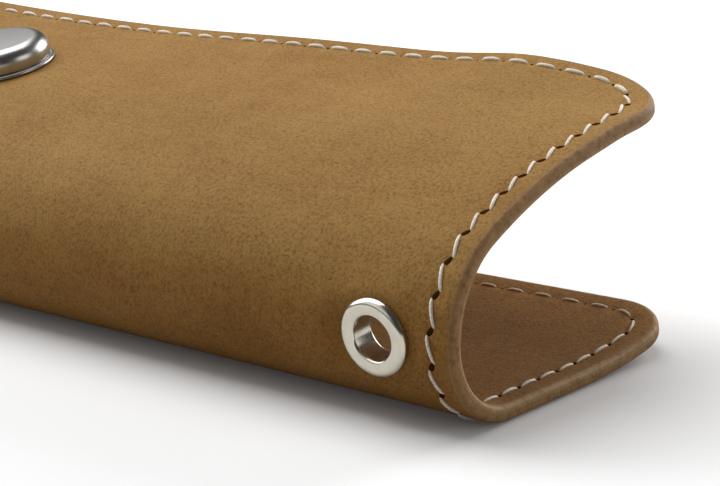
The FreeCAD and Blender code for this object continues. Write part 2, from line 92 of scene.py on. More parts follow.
class Section:
    """The fold seen from its end: arcs and lines at the middle of the leather's thickness."""

    def __init__(self):
        half = LEATHER / 2
        self.runs = []
        self.spans = {}
        self.length = 0.0
        self.arc("curl", FLOOR_END, CURL_R, CURL_R - half, CURL_SWEEP - 90, -90)
        self.line("floor", FLOOR_END, half, FRONT_R, half)
        self.arc("front", FRONT_R, FRONT_R, FRONT_R - half, -90, -180)
        self.arc("top", TOP_R, FRONT_R, TOP_R - half, -180, -180 - TOP_SWEEP)
        self.arc("crown", CROWN_Y, CROWN_Z, CROWN_R - half, -180 - TOP_SWEEP, -180 - CROWN_END)
        turn = math.radians(-180 - CROWN_END)
        y = CROWN_Y + (CROWN_R - half) * math.cos(turn)
        z = CROWN_Z + (CROWN_R - half) * math.sin(turn)
        self.line("edge", y, z, y + EDGE_LENGTH * math.sin(turn), z - EDGE_LENGTH * math.cos(turn))

    def add(self, name, length, kind, facts):
        self.runs.append((self.length, length, kind, facts))
        self.spans[name] = (self.length, length)
        self.length += length

    def arc(self, name, y, z, radius, first, last):
        length = radius * math.radians(abs(last - first))
        self.add(name, length, "arc", (y, z, radius, math.radians(first)))

    def line(self, name, y0, z0, y1, z1):
        length = math.hypot(y1 - y0, z1 - z0)
        self.add(name, length, "line", (y0, z0, (y1 - y0) / length, (z1 - z0) / length))

    def at(self, t):
        """Place and outward direction, each as y and z, for an array of t."""
        t = np.asarray(t, float)
        y, z, out_y, out_z = (np.zeros_like(t) for _ in range(4))
        for start, length, kind, facts in self.runs:
            first = start == 0.0
            last = abs(start + length - self.length) < 1e-9
            here = ((t >= start) | first) & ((t < start + length) | last)
            along = t[here] - start
            if kind == "arc":
                centre_y, centre_z, radius, angle = facts
                turn = angle - along / radius
                y[here] = centre_y + radius * np.cos(turn)
                z[here] = centre_z + radius * np.sin(turn)
                out_y[here] = np.cos(turn)
                out_z[here] = np.sin(turn)
            else:
                from_y, from_z, step_y, step_z = facts
                y[here] = from_y + step_y * along
                z[here] = from_z + step_z * along
                out_y[here] = -step_z
                out_z[here] = step_y
        return y, z, out_y, out_z

    def place_on(self, name, share):
        """The t at a share of the way along a run."""
        start, length = self.spans[name]
        return start + length * share


SECTION = Section()
WIDTH = SECTION.length
CROWN_SPAN = CROWN_END - TOP_SWEEP
SEAM_T = SECTION.place_on("crown", (SEAM_ANGLE - TOP_SWEEP) / CROWN_SPAN)
STUD_T = SECTION.place_on("floor", 0.0) - (STUD_Y - FLOOR_END)
EYELET_T = SECTION.place_on("top", 0.0) - (FRONT_R - EYELET_Z)
EDGE_T = SECTION.place_on("edge", 0.0)


def smooth(value, low, high):
    """Goes smoothly from 0 to 1 while the value goes from low to high."""
    share = np.clip((np.asarray(value, float) - low) / (high - low), 0, 1)
    return share * share * (3 - 2 * share)


def bell(distance, width):
    """Falls from 1 at no distance towards 0, to about a third at the width."""
    return np.exp(-((distance / width) ** 2))


# Waves along the upper edge: height, place along the fold, and width.
EDGE_WAVES = [(0.75, 71.5, 8.0), (-0.55, 15.5, 21.0), (0.95, -34.0, 17.0), (-0.4, -76.0, 12.0)]
CORNER_DROOP = 1.2
LOWER_DROOP = 0.3


def unevenness(x, t):
    """How far the leather stands out of its drawn shape, the same for both its faces."""
    slow = 0.08 * np.sin(x / 19.0 + 0.6) * np.sin(t / 13.0 + 1.1)
    slow += 0.05 * np.sin(x / 8.3 - t / 11.0 + 0.4)
    slow = slow * smooth(t, 36, 48)
    free = smooth(t, EDGE_T - 4, WIDTH)
    edge = sum(height * bell(x - place, width) for height, place, width in EDGE_WAVES)
    corner = smooth(np.abs(x), 77, HALF_LENGTH) * smooth(t, WIDTH - 16, WIDTH)
    lower = smooth(x, 45, HALF_LENGTH) * smooth(14 - t, 0, 14)
    return slow + edge * free - CORNER_DROOP * corner - LOWER_DROOP * lower


def corner_radius(t):
    return np.where(np.asarray(t) < WIDTH / 2, LOWER_CORNER, UPPER_CORNER)


def edge_inset(x, t):
    """How far a place is from the edge of the rounded sheet."""
    radius = corner_radius(t)
    a = HALF_LENGTH - np.abs(x)
    b = np.minimum(t, WIDTH - t)
    reach = np.hypot(np.maximum(radius - a, 0), np.maximum(radius - b, 0))
    return np.where((a < radius) & (b < radius), radius - reach, np.minimum(a, b))


class StitchPath:
    """The line of the stitching, a rounded rectangle at one distance from the edge all round."""

    def __init__(self):
        self.sides = []
        self.length = 0.0
        low = LOWER_CORNER
        high = UPPER_CORNER
        corners = [(1, 0, low), (1, 1, high), (-1, 1, high), (-1, 0, low)]
        for side, (right, upper, radius) in enumerate(corners):
            before = corners[side - 1][2]
            whole = 2 * HALF_LENGTH if side % 2 == 0 else WIDTH
            straight = whole - before - radius
            centre = (right * (HALF_LENGTH - radius), WIDTH - radius if upper else radius)
            bend = (radius - STITCH_INSET) * math.pi / 2
            self.sides.append((self.length, straight, bend, centre, radius - STITCH_INSET))
            self.length += straight + bend

    def at(self, s):
        """Place on the sheet and direction of the line, s along it from the lower left corner."""
        s = s % self.length
        side = max(n for n in range(4) if self.sides[n][0] <= s)
        start, straight, _, centre, radius = self.sides[side]
        heading = side * math.pi / 2
        step = (math.cos(heading), math.sin(heading))
        back = straight - (s - start)
        if back >= 0:
            x = centre[0] + step[1] * radius - step[0] * back
            t = centre[1] - step[0] * radius - step[1] * back
            return x, t, step[0], step[1]
        turn = heading - math.pi / 2 - back / radius
        x = centre[0] + radius * math.cos(turn)
        t = centre[1] + radius * math.sin(turn)
        return x, t, -math.sin(turn), math.cos(turn)

    def holes(self, end_pitch, side_pitch):
        """Distances along the line at which the awl went through, evenly spaced on each side."""
        found = []
        for side, (start, straight, bend, _, _) in enumerate(self.sides):
            pitch = side_pitch if side % 2 == 0 else end_pitch
            count = round(straight / pitch)
            found += [start + straight * n / count for n in range(count)]
            count = max(round(bend / end_pitch), 2)
            found += [start + straight + bend * n / count for n in range(count)]
        return np.array(found)


PATH = StitchPath()
HOLES = PATH.holes(END_PITCH, SIDE_PITCH)
HOLE_PLACES = np.array([PATH.at(s)[:2] for s in HOLES])

GROOVE_DEPTH = 0.07
GROOVE_WIDTH = 0.8
DENT_DEPTH = 0.15
DENT_WIDTH = 0.65
DENT_REACH = 1.5


def stitch_dents(x, t):
    """How deep the surface is drawn in along the stitching and at its holes."""
    x, t = np.asarray(x, float), np.asarray(t, float)
    inset = edge_inset(x, t)
    depth = GROOVE_DEPTH * bell(inset - STITCH_INSET, GROOVE_WIDTH)
    near = np.abs(inset - STITCH_INSET) < DENT_REACH
    places = np.stack([x[near], t[near]], 1)
    dents = np.zeros(len(places))
    for hole in HOLE_PLACES:
        away = np.hypot(places[:, 0] - hole[0], places[:, 1] - hole[1])
        dents = np.maximum(dents, bell(away, DENT_WIDTH))
    depth[near] += DENT_DEPTH * dents
    return depth


def tipped(angle):
    """A direction in the section, turned by an angle from straight up, as y and z."""
    return np.array([-math.sin(math.radians(angle)), math.cos(math.radians(angle))])


# Where metal is pressed on the leather: its place, the way it faces, how far it grips and fades,
# and how deep the outer and the inner surface lie behind its plane.
PRESSED = [
    (EYELET_X, 0.0, EYELET_Z, tipped(90 + EYELET_TIP), 4.3, 7.0, 0.73, 2.1),
    (0.0, SNAP_Y, SNAP_Z, tipped(90 - SNAP_ANGLE), 7.6, 11.0, 0.33, 1.8),
    (0.0, STUD_Y, 0.0, tipped(180), 5.4, 8.0, 0.0, STUD_Z),
]
PRESS_REACH = 6.0  # leather further than this from the metal's plane is another part of the fold
PRESS_LIMITS = (-2.0, 0.3)  # how far the leather may be pushed in and drawn out


def on_sheet(x, t, depth):
    """Points in the case's frame, in metres, at depths below the outer surface."""
    x, t, depth = (np.asarray(v, float) for v in np.broadcast_arrays(x, t, depth))
    y, z, out_y, out_z = SECTION.at(t)
    off = LEATHER / 2 - depth + unevenness(x, t)
    for at_x, at_y, at_z, facing, grip, fade, outer, inner in PRESSED:
        here_y = y + out_y * off - at_y
        here_z = z + out_z * off - at_z
        height = here_y * facing[0] + here_z * facing[1]
        along = here_y * facing[1] - here_z * facing[0]
        wanted = -(outer + (inner - outer) * depth / LEATHER)
        square = out_y * facing[0] + out_z * facing[1]
        facing_it = square > 0.5
        grasp = 1 - smooth(np.hypot(x - at_x, along), grip, fade)
        near = grasp * facing_it * (np.abs(height) < PRESS_REACH)
        shift = (wanted - height) / np.where(facing_it, square, 1.0)
        off = off + near * np.clip(shift, *PRESS_LIMITS)
    return np.stack([x, y + out_y * off - MIDDLE_Y, z + out_z * off], -1) * MM


def out_of_sheet(t):
    """The outward direction of the leather, straight across its thickness."""
    _, _, out_y, out_z = SECTION.at(np.asarray(t, float))
    return np.stack([np.zeros_like(out_y), out_y, out_z], -1)


# Insets of the close lines along the border. The first is where the rounded edge begins.
BORDER = [0.65, 0.9, 1.2, 1.6, 2.0, 2.25, 2.45, 2.65, 2.8, 2.95, 3.15, 3.35, 3.7, 4.2, 5.0, 6.0]
BORDER += [7.0, 8.0, 9.0, 10.0, 11.0, 12.0, 13.0]
CORNER_ZONE = BORDER[-1]


def sheet_lines(length, step, extra=()):
    """Lines across the sheet: close together at both borders and even between them."""
    count = round((length - 2 * CORNER_ZONE) / step)
    inner = np.linspace(CORNER_ZONE, length - CORNER_ZONE, count + 1)[1:-1]
    inner = [v for v in inner if all(abs(v - e) > step * 0.3 for e in extra)]
    lines = np.concatenate([BORDER, inner, [length - b for b in reversed(BORDER)], list(extra)])
    return np.unique(np.round(lines, 6))


def round_corner(a, b, radius, inset):
    """Moves a place of the square corner, a and b from its two edges, onto the rounded corner."""
    ring = np.minimum(a, b)
    share = np.where(
        a <= b,
        0.5 * (CORNER_ZONE - b) / np.maximum(CORNER_ZONE - ring, 1e-9),
        1 - 0.5 * (CORNER_ZONE - a) / np.maximum(CORNER_ZONE - ring, 1e-9),
    )
    ring = np.where(np.isclose(ring, BORDER[0]), np.minimum(ring, inset), ring)
    radius = np.maximum(radius - ring, 0)
    leg = CORNER_ZONE - ring - radius
    bend = radius * math.pi / 2
    way = share * (2 * leg + bend)
    turn = np.clip((way - leg) / np.maximum(radius, 1e-9), 0, math.pi / 2)
    past = np.maximum(way - leg - bend, 0)
    before = np.minimum(way, leg)
    new_a = ring + radius * (1 - np.cos(turn)) + past
    new_b = CORNER_ZONE - before - radius * np.sin(turn)
    return new_a, new_b


def sheet_places(x_lines, t_lines, inset=BORDER[0]):
    """Places for a grid of lines with its corners rounded. A smaller inset draws its border out."""
    x, t = np.meshgrid(x_lines, t_lines, indexing="ij")
    a = HALF_LENGTH - np.abs(x)
    b = np.minimum(t, WIDTH - t)
    corner = (a < CORNER_ZONE) & (b < CORNER_ZONE)
    new_a, new_b = round_corner(a, b, corner_radius(t), inset)
    side_a = np.where(np.isclose(a, BORDER[0]), np.minimum(a, inset), a)
    side_b = np.where(np.isclose(b, BORDER[0]), np.minimum(b, inset), b)
    a = np.where(corner, new_a, side_a)
    b = np.where(corner, new_b, side_b)
    return np.sign(x) * (HALF_LENGTH - a), np.where(t < WIDTH / 2, b, WIDTH - b)


X_STEP = 1.0
T_STEP = 0.6
SEAM_STEP = 0.25
X_LINES = sheet_lines(2 * HALF_LENGTH, X_STEP) - HALF_LENGTH
T_LINES = sheet_lines(WIDTH, T_STEP, (SEAM_T - SEAM_STEP, SEAM_T, SEAM_T + SEAM_STEP))


def add_object(name, data):
    thing = bpy.data.objects.new(name, data)
    bpy.context.scene.collection.objects.link(thing)
    return thing


def new_piece(name, points, faces, materials, edges=()):
    mesh = bpy.data.meshes.new(name)
    mesh.from_pydata([tuple(p) for p in points], [tuple(e) for e in edges], faces)
    for material in materials:
        mesh.materials.append(material)
    return add_object(name, mesh)


def plain_mesh(thing):
    """The mesh that an object shows, with its modifiers or its curve worked out."""
    seen = thing.evaluated_get(bpy.context.evaluated_depsgraph_get())
    return bpy.data.meshes.new_from_object(seen)


def cover_with(mesh, material):
    """Gives a mesh one material in place of those it has."""
    mesh.materials.clear()
    mesh.materials.append(material)


def shade_smooth(mesh):
    mesh.polygons.foreach_set("use_smooth", [True] * len(mesh.polygons))


def close_up(mesh, sharp_angle):
    """Drops points without faces, turns all faces outwards and shades them, sharp past an angle."""
    work = bmesh.new()
    work.from_mesh(mesh)
    loose = [v for v in work.verts if not v.link_faces]
    bmesh.ops.delete(work, geom=loose, context="VERTS")
    bmesh.ops.recalc_face_normals(work, faces=work.faces)
    work.to_mesh(mesh)
    work.free()
    shade_smooth(mesh)
    mesh.set_sharp_from_angle(angle=math.radians(sharp_angle))


def open_holes(x, t, holes):
    """Cuts round holes in a grid: the grid drawn to their rims, and which of its cells stay."""
    keep = np.ones((x.shape[0] - 1, x.shape[1] - 1), bool)
    for hole_x, hole_t, hole_r in holes:
        mid_x = (x[:-1, :-1] + x[1:, 1:]) / 2
        mid_t = (t[:-1, :-1] + t[1:, 1:]) / 2
        inside = np.hypot(mid_x - hole_x, mid_t - hole_t) < hole_r
        keep &= ~inside
        cut = np.zeros(x.shape, bool)
        whole = np.zeros(x.shape, bool)
        for di in (0, 1):
            for dj in (0, 1):
                block = (slice(di, x.shape[0] - 1 + di), slice(dj, x.shape[1] - 1 + dj))
                cut[block] |= inside
                whole[block] |= ~inside
        away = np.hypot(x - hole_x, t - hole_t)
        scale = np.where(cut & whole, hole_r / np.maximum(away, 1e-9), 1.0)
        x = hole_x + (x - hole_x) * scale
        t = hole_t + (t - hole_t) * scale
    return x, t, keep


# The attribute "edge" is 1 on the cut of a leather and fades to 0 at an inset on its face.
EDGE_BEGINS = 0.3  # its value where the rounded edge begins
EDGE_FADES = 2.2
# Painted shade: this attribute is 1 low on the case, where it makes the leather darker and warmer.
SHADE_BELOW = 9.0
UNSHADED_ABOVE = 17.0
LEATHER_SHARP = 50  # degrees between faces, past which they are shaded with a sharp edge
METAL_SHARP = 38


def border_chain(count_x, count_t, part):
    """Grid places round the three outer sides of one half, from seam to seam."""
    down = [(0, j) for j in range(count_t - 1, 0, -1)]
    along = [(i, 0) for i in range(count_x)]
    up = [(count_x - 1, j) for j in range(1, count_t)]
    chain = down + along + up
    if part == "upper":
        chain = [(i, count_t - 1 - j) for i, j in chain]
    return chain


def grid_faces(number, keep, below):
    """Faces of a sheet's two sides, with walls in the holes where cells are left out."""
    faces = []
    for i in range(number.shape[0] - 1):
        for j in range(number.shape[1] - 1):
            quad = [number[i, j], number[i + 1, j], number[i + 1, j + 1], number[i, j + 1]]
            if keep[i, j]:
                faces.append(quad)
                faces.append([n + below for n in reversed(quad)])
                continue
            sides = [((i, j - 1), quad[0], quad[1]), ((i + 1, j), quad[1], quad[2])]
            sides += [((i, j + 1), quad[2], quad[3]), ((i - 1, j), quad[3], quad[0])]
            for (ni, nj), one, two in sides:
                if keep[ni, nj]:
                    faces.append([one, two, two + below, one + below])
    return faces


def strip_faces(upper, lower):
    """Faces between two rows of point numbers."""
    return [list(corners) for corners in zip(upper, upper[1:], lower[1:], lower)]


def ply_piece(name, part, face_depth, rim, holes, materials):
    """One leather of one half of the fold, closed all round.

    rim is the rounded edge, as insets and depths from the shown face to the glued one.
    """
    seam = int(np.argmin(np.abs(T_LINES - SEAM_T)))
    lines = T_LINES[: seam + 1] if part == "lower" else T_LINES[seam:]
    x, t, keep = open_holes(*sheet_places(X_LINES, lines), holes)
    count_x, count_t = x.shape
    below = count_x * count_t
    number = np.arange(below).reshape(count_x, count_t)
    outwards = 1 if face_depth < COVER else -1
    face = on_sheet(x, t, face_depth + outwards * stitch_dents(x, t))
    back = on_sheet(x, t, COVER)
    points = [face.reshape(-1, 3), back.reshape(-1, 3)]
    near_edge = EDGE_BEGINS * (1 - smooth(edge_inset(x, t), BORDER[0], EDGE_FADES))
    edges = [near_edge.ravel(), np.ones(below)]

    chain = border_chain(count_x, count_t, part)
    pick = tuple(np.array(chain).T)
    rows = [number[pick]]
    used = below * 2
    for inset, depth in rim:
        ring_x, ring_t = sheet_places(X_LINES, lines, inset)
        points.append(on_sheet(ring_x[pick], ring_t[pick], depth))
        edges.append(np.full(len(chain), 1 - (1 - EDGE_BEGINS) * inset / BORDER[0]))
        rows.append(np.arange(used, used + len(chain)))
        used += len(chain)
    rows.append(number[pick] + below)

    faces = grid_faces(number, keep, below)
    for upper, lower in zip(rows, rows[1:]):
        faces += strip_faces(upper, lower)
    seam_line = number[:, -1 if part == "lower" else 0]
    faces += strip_faces(seam_line, seam_line + below)
    for end in (0, -1):
        faces.append([row[end] for row in rows])

    points = np.concatenate(points)
    piece = new_piece(name, points, [[int(n) for n in f] for f in faces], materials)
    # Painted shade, 1 low on the case and fading out higher up.
    low_shade = 1 - smooth(points[:, 2] / MM, SHADE_BELOW, UNSHADED_ABOVE)
    for key, values in (("edge", np.concatenate(edges)), ("low_shade", low_shade)):
        piece.data.attributes.new(key, "FLOAT", "POINT").data.foreach_set("value", values)
    close_up(piece.data, LEATHER_SHARP)
    return piece


def add_node(tree, kind, settings, sockets):
    """Adds a node: first its settings, then the values or links of its sockets."""
    node = tree.nodes.new(kind)
    for key, value in settings.items():
        setattr(node, key, value)
    for key, value in sockets.items():
        if isinstance(value, bpy.types.NodeSocket):
            tree.links.new(value, node.inputs[key])
        else:
            node.inputs[key].default_value = value
    return node


class Value:
    """A shader value that can be used in sums. A sum adds its Math nodes to the shader."""

    def __init__(self, shader, socket):
        self.shader = shader
        self.socket = socket

    def maths(self, operation, other, swapped=False):
        pair = [other, self] if swapped else [self, other]
        return self.shader.add("ShaderNodeMath", {"operation": operation}, dict(enumerate(pair)))

    def __add__(self, other):
        return self.maths("ADD", other)

    __radd__ = __add__

    def __sub__(self, other):
        return self.maths("SUBTRACT", other)

    def __rsub__(self, other):
        return self.maths("SUBTRACT", other, True)

    def __mul__(self, other):
        return self.maths("MULTIPLY", other)

    __rmul__ = __mul__

    def between(self, low, high, first=0.0, last=1.0):
        """Goes smoothly from first to last while the value goes from low to high."""
        sockets = {"Value": self, "From Min": low, "From Max": high}
        sockets.update({"To Min": first, "To Max": last})
        return self.shader.add("ShaderNodeMapRange", {"interpolation_type": "SMOOTHSTEP"}, sockets)


class Shader:
    """The shader of a material or of the world, under construction."""

    def __init__(self, owner):
        owner.use_nodes = True
        self.owner = owner
        self.tree = owner.node_tree
        self.tree.nodes.clear()

    def add(self, kind, settings, sockets, out=0):
        given = {k: v.socket if isinstance(v, Value) else v for k, v in sockets.items()}
        node = add_node(self.tree, kind, settings, given)
        return Value(self, node.outputs[out]) if node.outputs else None

    def noise(self, place, scale, detail=3.0, roughness=0.5):
        sockets = {"Vector": place, "Scale": scale, "Detail": detail, "Roughness": roughness}
        return self.add("ShaderNodeTexNoise", {}, sockets)

    def mix(self, share, first, last, blend="MIX"):
        settings = {"data_type": "RGBA", "blend_type": blend}
        return self.add("ShaderNodeMix", settings, {0: share, 6: first, 7: last}, 2)

    def place(self, stretch=None):
        spot = self.add("ShaderNodeTexCoord", {}, {}, "Object")
        if stretch is None:
            return spot
        return self.add("ShaderNodeMapping", {}, {"Vector": spot, "Scale": stretch})

    def attribute(self, name):
        return self.add("ShaderNodeAttribute", {"attribute_name": name}, {}, "Fac")

    def bump(self, height, strength, distance):
        sockets = {"Strength": strength, "Distance": distance, "Height": height}
        return self.add("ShaderNodeBump", {}, sockets)

    def by_ray(self, surface, others):
        """A surface for all rays, except that each named kind of ray sees its own."""
        for ray, other in others:
            seen = self.add("ShaderNodeLightPath", {}, {}, ray)
            surface = self.add("ShaderNodeMixShader", {}, {0: seen, 1: surface, 2: other})
        return surface

    def finish(self, sockets):
        surface = self.add("ShaderNodeBsdfPrincipled", {}, sockets)
        self.add("ShaderNodeOutputMaterial", {}, {"Surface": surface})
        return self.owner


def new_paint(name):
    return Shader(bpy.data.materials.new(name))


def tone(red, green, blue):
    """A colour given as it shows on screen, 0 to 255, for a shader."""
    shown = [c / 255 for c in (red, green, blue)]
    linear = [c / 12.92 if c <= 0.04045 else ((c + 0.055) / 1.055) ** 2.4 for c in shown]
    return (*linear, 1.0)


SPECK = tone(98, 68, 32)
TIP = tone(186, 145, 80)
LOW_SHADE_TINT = tone(236, 208, 166)
# Pale flecks and wear on the cut edge, also a painted highlight along its arris.
PALE_WEAR_AND_HIGHLIGHT = tone(186, 154, 112)


def leather_paint(name, light, dark, cut, arris_at, wear_and_highlight, low_shade_strength):
    """Smooth tanned leather, darker and warmer low down on the case by a painted shade.

    Its burnished edge has the colour cut, and is paler along a line on its arris, where the
    attribute "edge" has one given value: partly wear, partly a painted highlight.
    """
    paint = new_paint(name)
    spot = paint.place()
    cloud = paint.noise(spot, 55.0, 3.0).between(0.3, 0.7)
    patch = paint.noise(spot, 260.0, 4.0, 0.6)
    grain = paint.noise(spot, 2900.0, 5.0, 0.78)
    streak = paint.noise(paint.place((0.16, 1.0, 1.0)), 420.0, 3.0, 0.6).between(0.3, 0.7)
    shade = cloud * 0.5 + patch.between(0.3, 0.72) * 0.3 + streak * 0.2
    base = paint.mix(shade, dark, light)
    pores = paint.noise(spot, 2300.0, 2.0, 0.5).between(0.64, 0.74)
    smudge = paint.noise(paint.place((0.35, 1.0, 1.0)), 700.0, 3.0, 0.6).between(0.58, 0.78)
    base = paint.mix(pores * 0.5, base, SPECK)
    base = paint.mix(smudge * 0.1, base, SPECK)
    base = paint.mix(grain.between(0.48, 0.62) * 0.42, base, SPECK, "MULTIPLY")
    base = paint.mix(grain.between(0.5, 0.36) * 0.26, base, TIP)
    # Painted shade: darker and warmer low on the case.
    base = paint.mix(paint.attribute("low_shade") * low_shade_strength, base, LOW_SHADE_TINT, "MULTIPLY")
    edge = paint.attribute("edge")
    fleck = paint.noise(spot, 1100.0, 4.0, 0.7)
    burnt = paint.mix(fleck.between(0.48, 0.66) * 0.5, cut, SPECK)
    burnt = paint.mix(fleck.between(0.46, 0.32) * 0.25, burnt, PALE_WEAR_AND_HIGHLIGHT)
    base = paint.mix(edge.between(0.2, 0.6), base, burnt)
    # Paler line along the arris: partly wear, partly a painted highlight.
    line = edge.between(arris_at - 0.14, arris_at) * edge.between(arris_at + 0.16, arris_at + 0.02)
    base = paint.mix(line * patch.between(0.4, 0.6, 0.25) * wear_and_highlight, base, PALE_WEAR_AND_HIGHLIGHT)
    bump = paint.bump(grain * 1.1 + patch * 0.3 - pores * 0.6, 0.9, 0.0001)
    rough = 0.62 + grain * 0.18 - edge * 0.12
    sockets = {"Base Color": base, "Roughness": rough, "Normal": bump, "Specular IOR Level": 0.14}
    return paint.finish(sockets)


def thread_paint():
    paint = new_paint("waxed_thread")
    fibre = paint.noise(paint.place(), 5200.0, 3.0, 0.6)
    base = paint.mix(fibre.between(0.3, 0.65), tone(214, 202, 178), tone(248, 243, 230))
    # Painted shade: a tan tint on the stitches of the two long sides, also standing in for blur.
    base = paint.mix(paint.attribute("shade_tint"), base, tone(158, 126, 84))
    bump = paint.bump(fibre, 0.5, 0.00006)
    return paint.finish({"Base Color": base, "Roughness": 0.62, "Normal": bump})


def awl_shade_paint():
    paint = new_paint("awl_hole_shade")
    fibre = paint.noise(paint.place(), 2400.0, 2.0)
    # Painted shade: the dark inside of an awl hole.
    base = paint.mix(fibre, tone(38, 20, 6), tone(70, 42, 16))
    return paint.finish({"Base Color": base, "Roughness": 0.95, "Specular IOR Level": 0.0})


def nickel_paint(name, colour, rough):
    paint = new_paint(name)
    haze = paint.noise(paint.place(), 900.0, 4.0, 0.6)
    scratch = paint.noise(paint.place((1.0, 0.06, 1.0)), 5200.0, 2.0, 0.6).between(0.55, 0.8)
    base = paint.mix(haze.between(0.3, 0.7) * 0.2, colour, tone(150, 143, 128))
    shine = rough + haze * 0.08 + scratch * 0.03
    bump = paint.bump(haze, 0.03, 0.00003)
    return paint.finish({"Base Color": base, "Metallic": 1.0, "Roughness": shine, "Normal": bump})


COVER_LEATHER = leather_paint(
    "cover_leather",
    light=tone(164, 126, 67),
    dark=tone(143, 103, 48),
    cut=tone(146, 112, 72),
    arris_at=0.5,
    wear_and_highlight=0.25,
    low_shade_strength=0.55,
)
LINING_LEATHER = leather_paint(
    "lining_leather",
    light=tone(161, 117, 60),
    dark=tone(139, 97, 44),
    cut=tone(158, 124, 84),
    arris_at=0.84,
    wear_and_highlight=0.65,
    low_shade_strength=0.12,
)
THREAD = thread_paint()
AWL_SHADE = awl_shade_paint()
NICKEL = nickel_paint("nickel", tone(204, 199, 184), 0.17)
SATIN = nickel_paint("satin_nickel", tone(170, 169, 167), 0.26)
STEEL = nickel_paint("spring_steel", tone(176, 174, 168), 0.24)

# Holes cut in the leather: x, t and radius.
EYELET_HOLE = (EYELET_X, EYELET_T, 3.05)
RIVET_HOLE = (0.0, STUD_T, 4.86)

RIM_DEPTH = 0.6  # how far the rounded edge reaches into a leather
GLUE_GAP = 0.01  # from the end of the cut to the glued face

# Layer, depth of its shown face, which way is into it, and its material.
LAYERS = [("cover", 0.0, 1, COVER_LEATHER), ("lining", LEATHER, -1, LINING_LEATHER)]
STRETCHES = {"lower": ("floor", "wall", "fold", "roll"), "upper": ("bend", "panel")}


def rounded_rim(surface, inwards):
    """The rounded edge of one leather, as insets and depths from its face to the glue."""
    rim = []
    for turn in np.radians(np.arange(15, 91, 15)):
        inset = BORDER[0] * (1 - math.sin(turn))
        rim.append((inset, surface + inwards * RIM_DEPTH * (1 - math.cos(turn))))
    return rim + [(0.0, COVER - inwards * GLUE_GAP)]


def bend_with_case(piece, part):
    """Bakes a piece's place into its mesh, the same for the lower and the upper half."""
    if part == "lower":
        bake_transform(piece)
    else:
        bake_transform(piece)


def dress_leather():
    """Both leathers, each in a lower and an upper half."""
    for layer, face, inwards, paint in LAYERS:
        rim = rounded_rim(face, inwards)
        for part, stretches in STRETCHES.items():
            holes = [EYELET_HOLE] if part == "lower" else []
            if part == "lower" and layer == "cover":
                holes.append(RIVET_HOLE)
            piece = ply_piece(f"{layer}_{part}", part, face, rim, holes, [paint])
            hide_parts(*[f"{layer}_{stretch}" for stretch in stretches])
            bend_with_case(piece, part)


def grown(name, points, edges, attributes, tree, inputs, material):
    """Grows a mesh from points and edges with a node tree, and leaves it as a plain mesh."""
    piece = new_piece(name, points, [], [], edges)
    for key, (kind, values) in attributes.items():
        layer = piece.data.attributes.new(key, kind, "POINT")
        field = "vector" if kind == "FLOAT_VECTOR" else "value"
        layer.data.foreach_set(field, np.asarray(values).ravel())
    modifier = piece.modifiers.new("grow", "NODES")
    modifier.node_group = tree
    for item in tree.interface.items_tree:
        if item.item_type == "SOCKET" and item.in_out == "INPUT" and item.name in inputs:
            modifier[item.identifier] = inputs[item.name]
    mesh = plain_mesh(piece)
    piece.modifiers.remove(modifier)
    piece.data = mesh
    mesh.name = name
    cover_with(mesh, material)
    return piece


class Growth:
    """A geometry node tree under construction, with named inputs."""

    def __init__(self, name, inputs):
        self.tree = bpy.data.node_groups.new(name, "GeometryNodeTree")
        face = self.tree.interface
        face.new_socket("Geometry", in_out="INPUT", socket_type="NodeSocketGeometry")
        for key, (kind, value) in inputs.items():
            face.new_socket(key, in_out="INPUT", socket_type=kind).default_value = value
        face.new_socket("Geometry", in_out="OUTPUT", socket_type="NodeSocketGeometry")
        self.source = self.tree.nodes.new("NodeGroupInput")

    def given(self, key):
        return self.source.outputs[key]

    def add(self, kind, settings, sockets):
        return add_node(self.tree, kind, settings, sockets).outputs[0]

    def named(self, key, kind="FLOAT"):
        return self.add("GeometryNodeInputNamedAttribute", {"data_type": kind}, {"Name": key})

    def finish(self, shape, material):
        whole = self.add("GeometryNodeRealizeInstances", {}, {0: shape})
        soft = self.add("GeometryNodeSetShadeSmooth", {}, {0: whole})
        dressed = self.add("GeometryNodeSetMaterial", {}, {0: soft, "Material": material})
        sink = self.tree.nodes.new("NodeGroupOutput")
        self.tree.links.new(dressed, sink.inputs[0])
        return self.tree


SLIT_DEPTH = 0.16
SLIT_LIFT = 0.03  # from the leather's face to the middle of a slit
SLIT_AHEAD = 0.78  # the slits stand about 39 degrees across the line of the stitching
SLIT_ASIDE = 0.63


def thread_growth():
    """A thread along each line of points, as thick as its points say."""
    inputs = {"Thread radius": ("NodeSocketFloat", 0.0003), "Sides": ("NodeSocketInt", 8)}
    grow = Growth("thread", inputs)
    line = grow.add("GeometryNodeMeshToCurve", {}, {0: grow.given("Geometry")})
    sockets = {"Resolution": grow.given("Sides"), "Radius": grow.given("Thread radius")}
    profile = grow.add("GeometryNodeCurvePrimitiveCircle", {}, sockets)
    sockets = {"Curve": line, "Profile Curve": profile, "Fill Caps": True}
    sockets["Scale"] = grow.named("swell")
    return grow.finish(grow.add("GeometryNodeCurveToMesh", {}, sockets), THREAD)


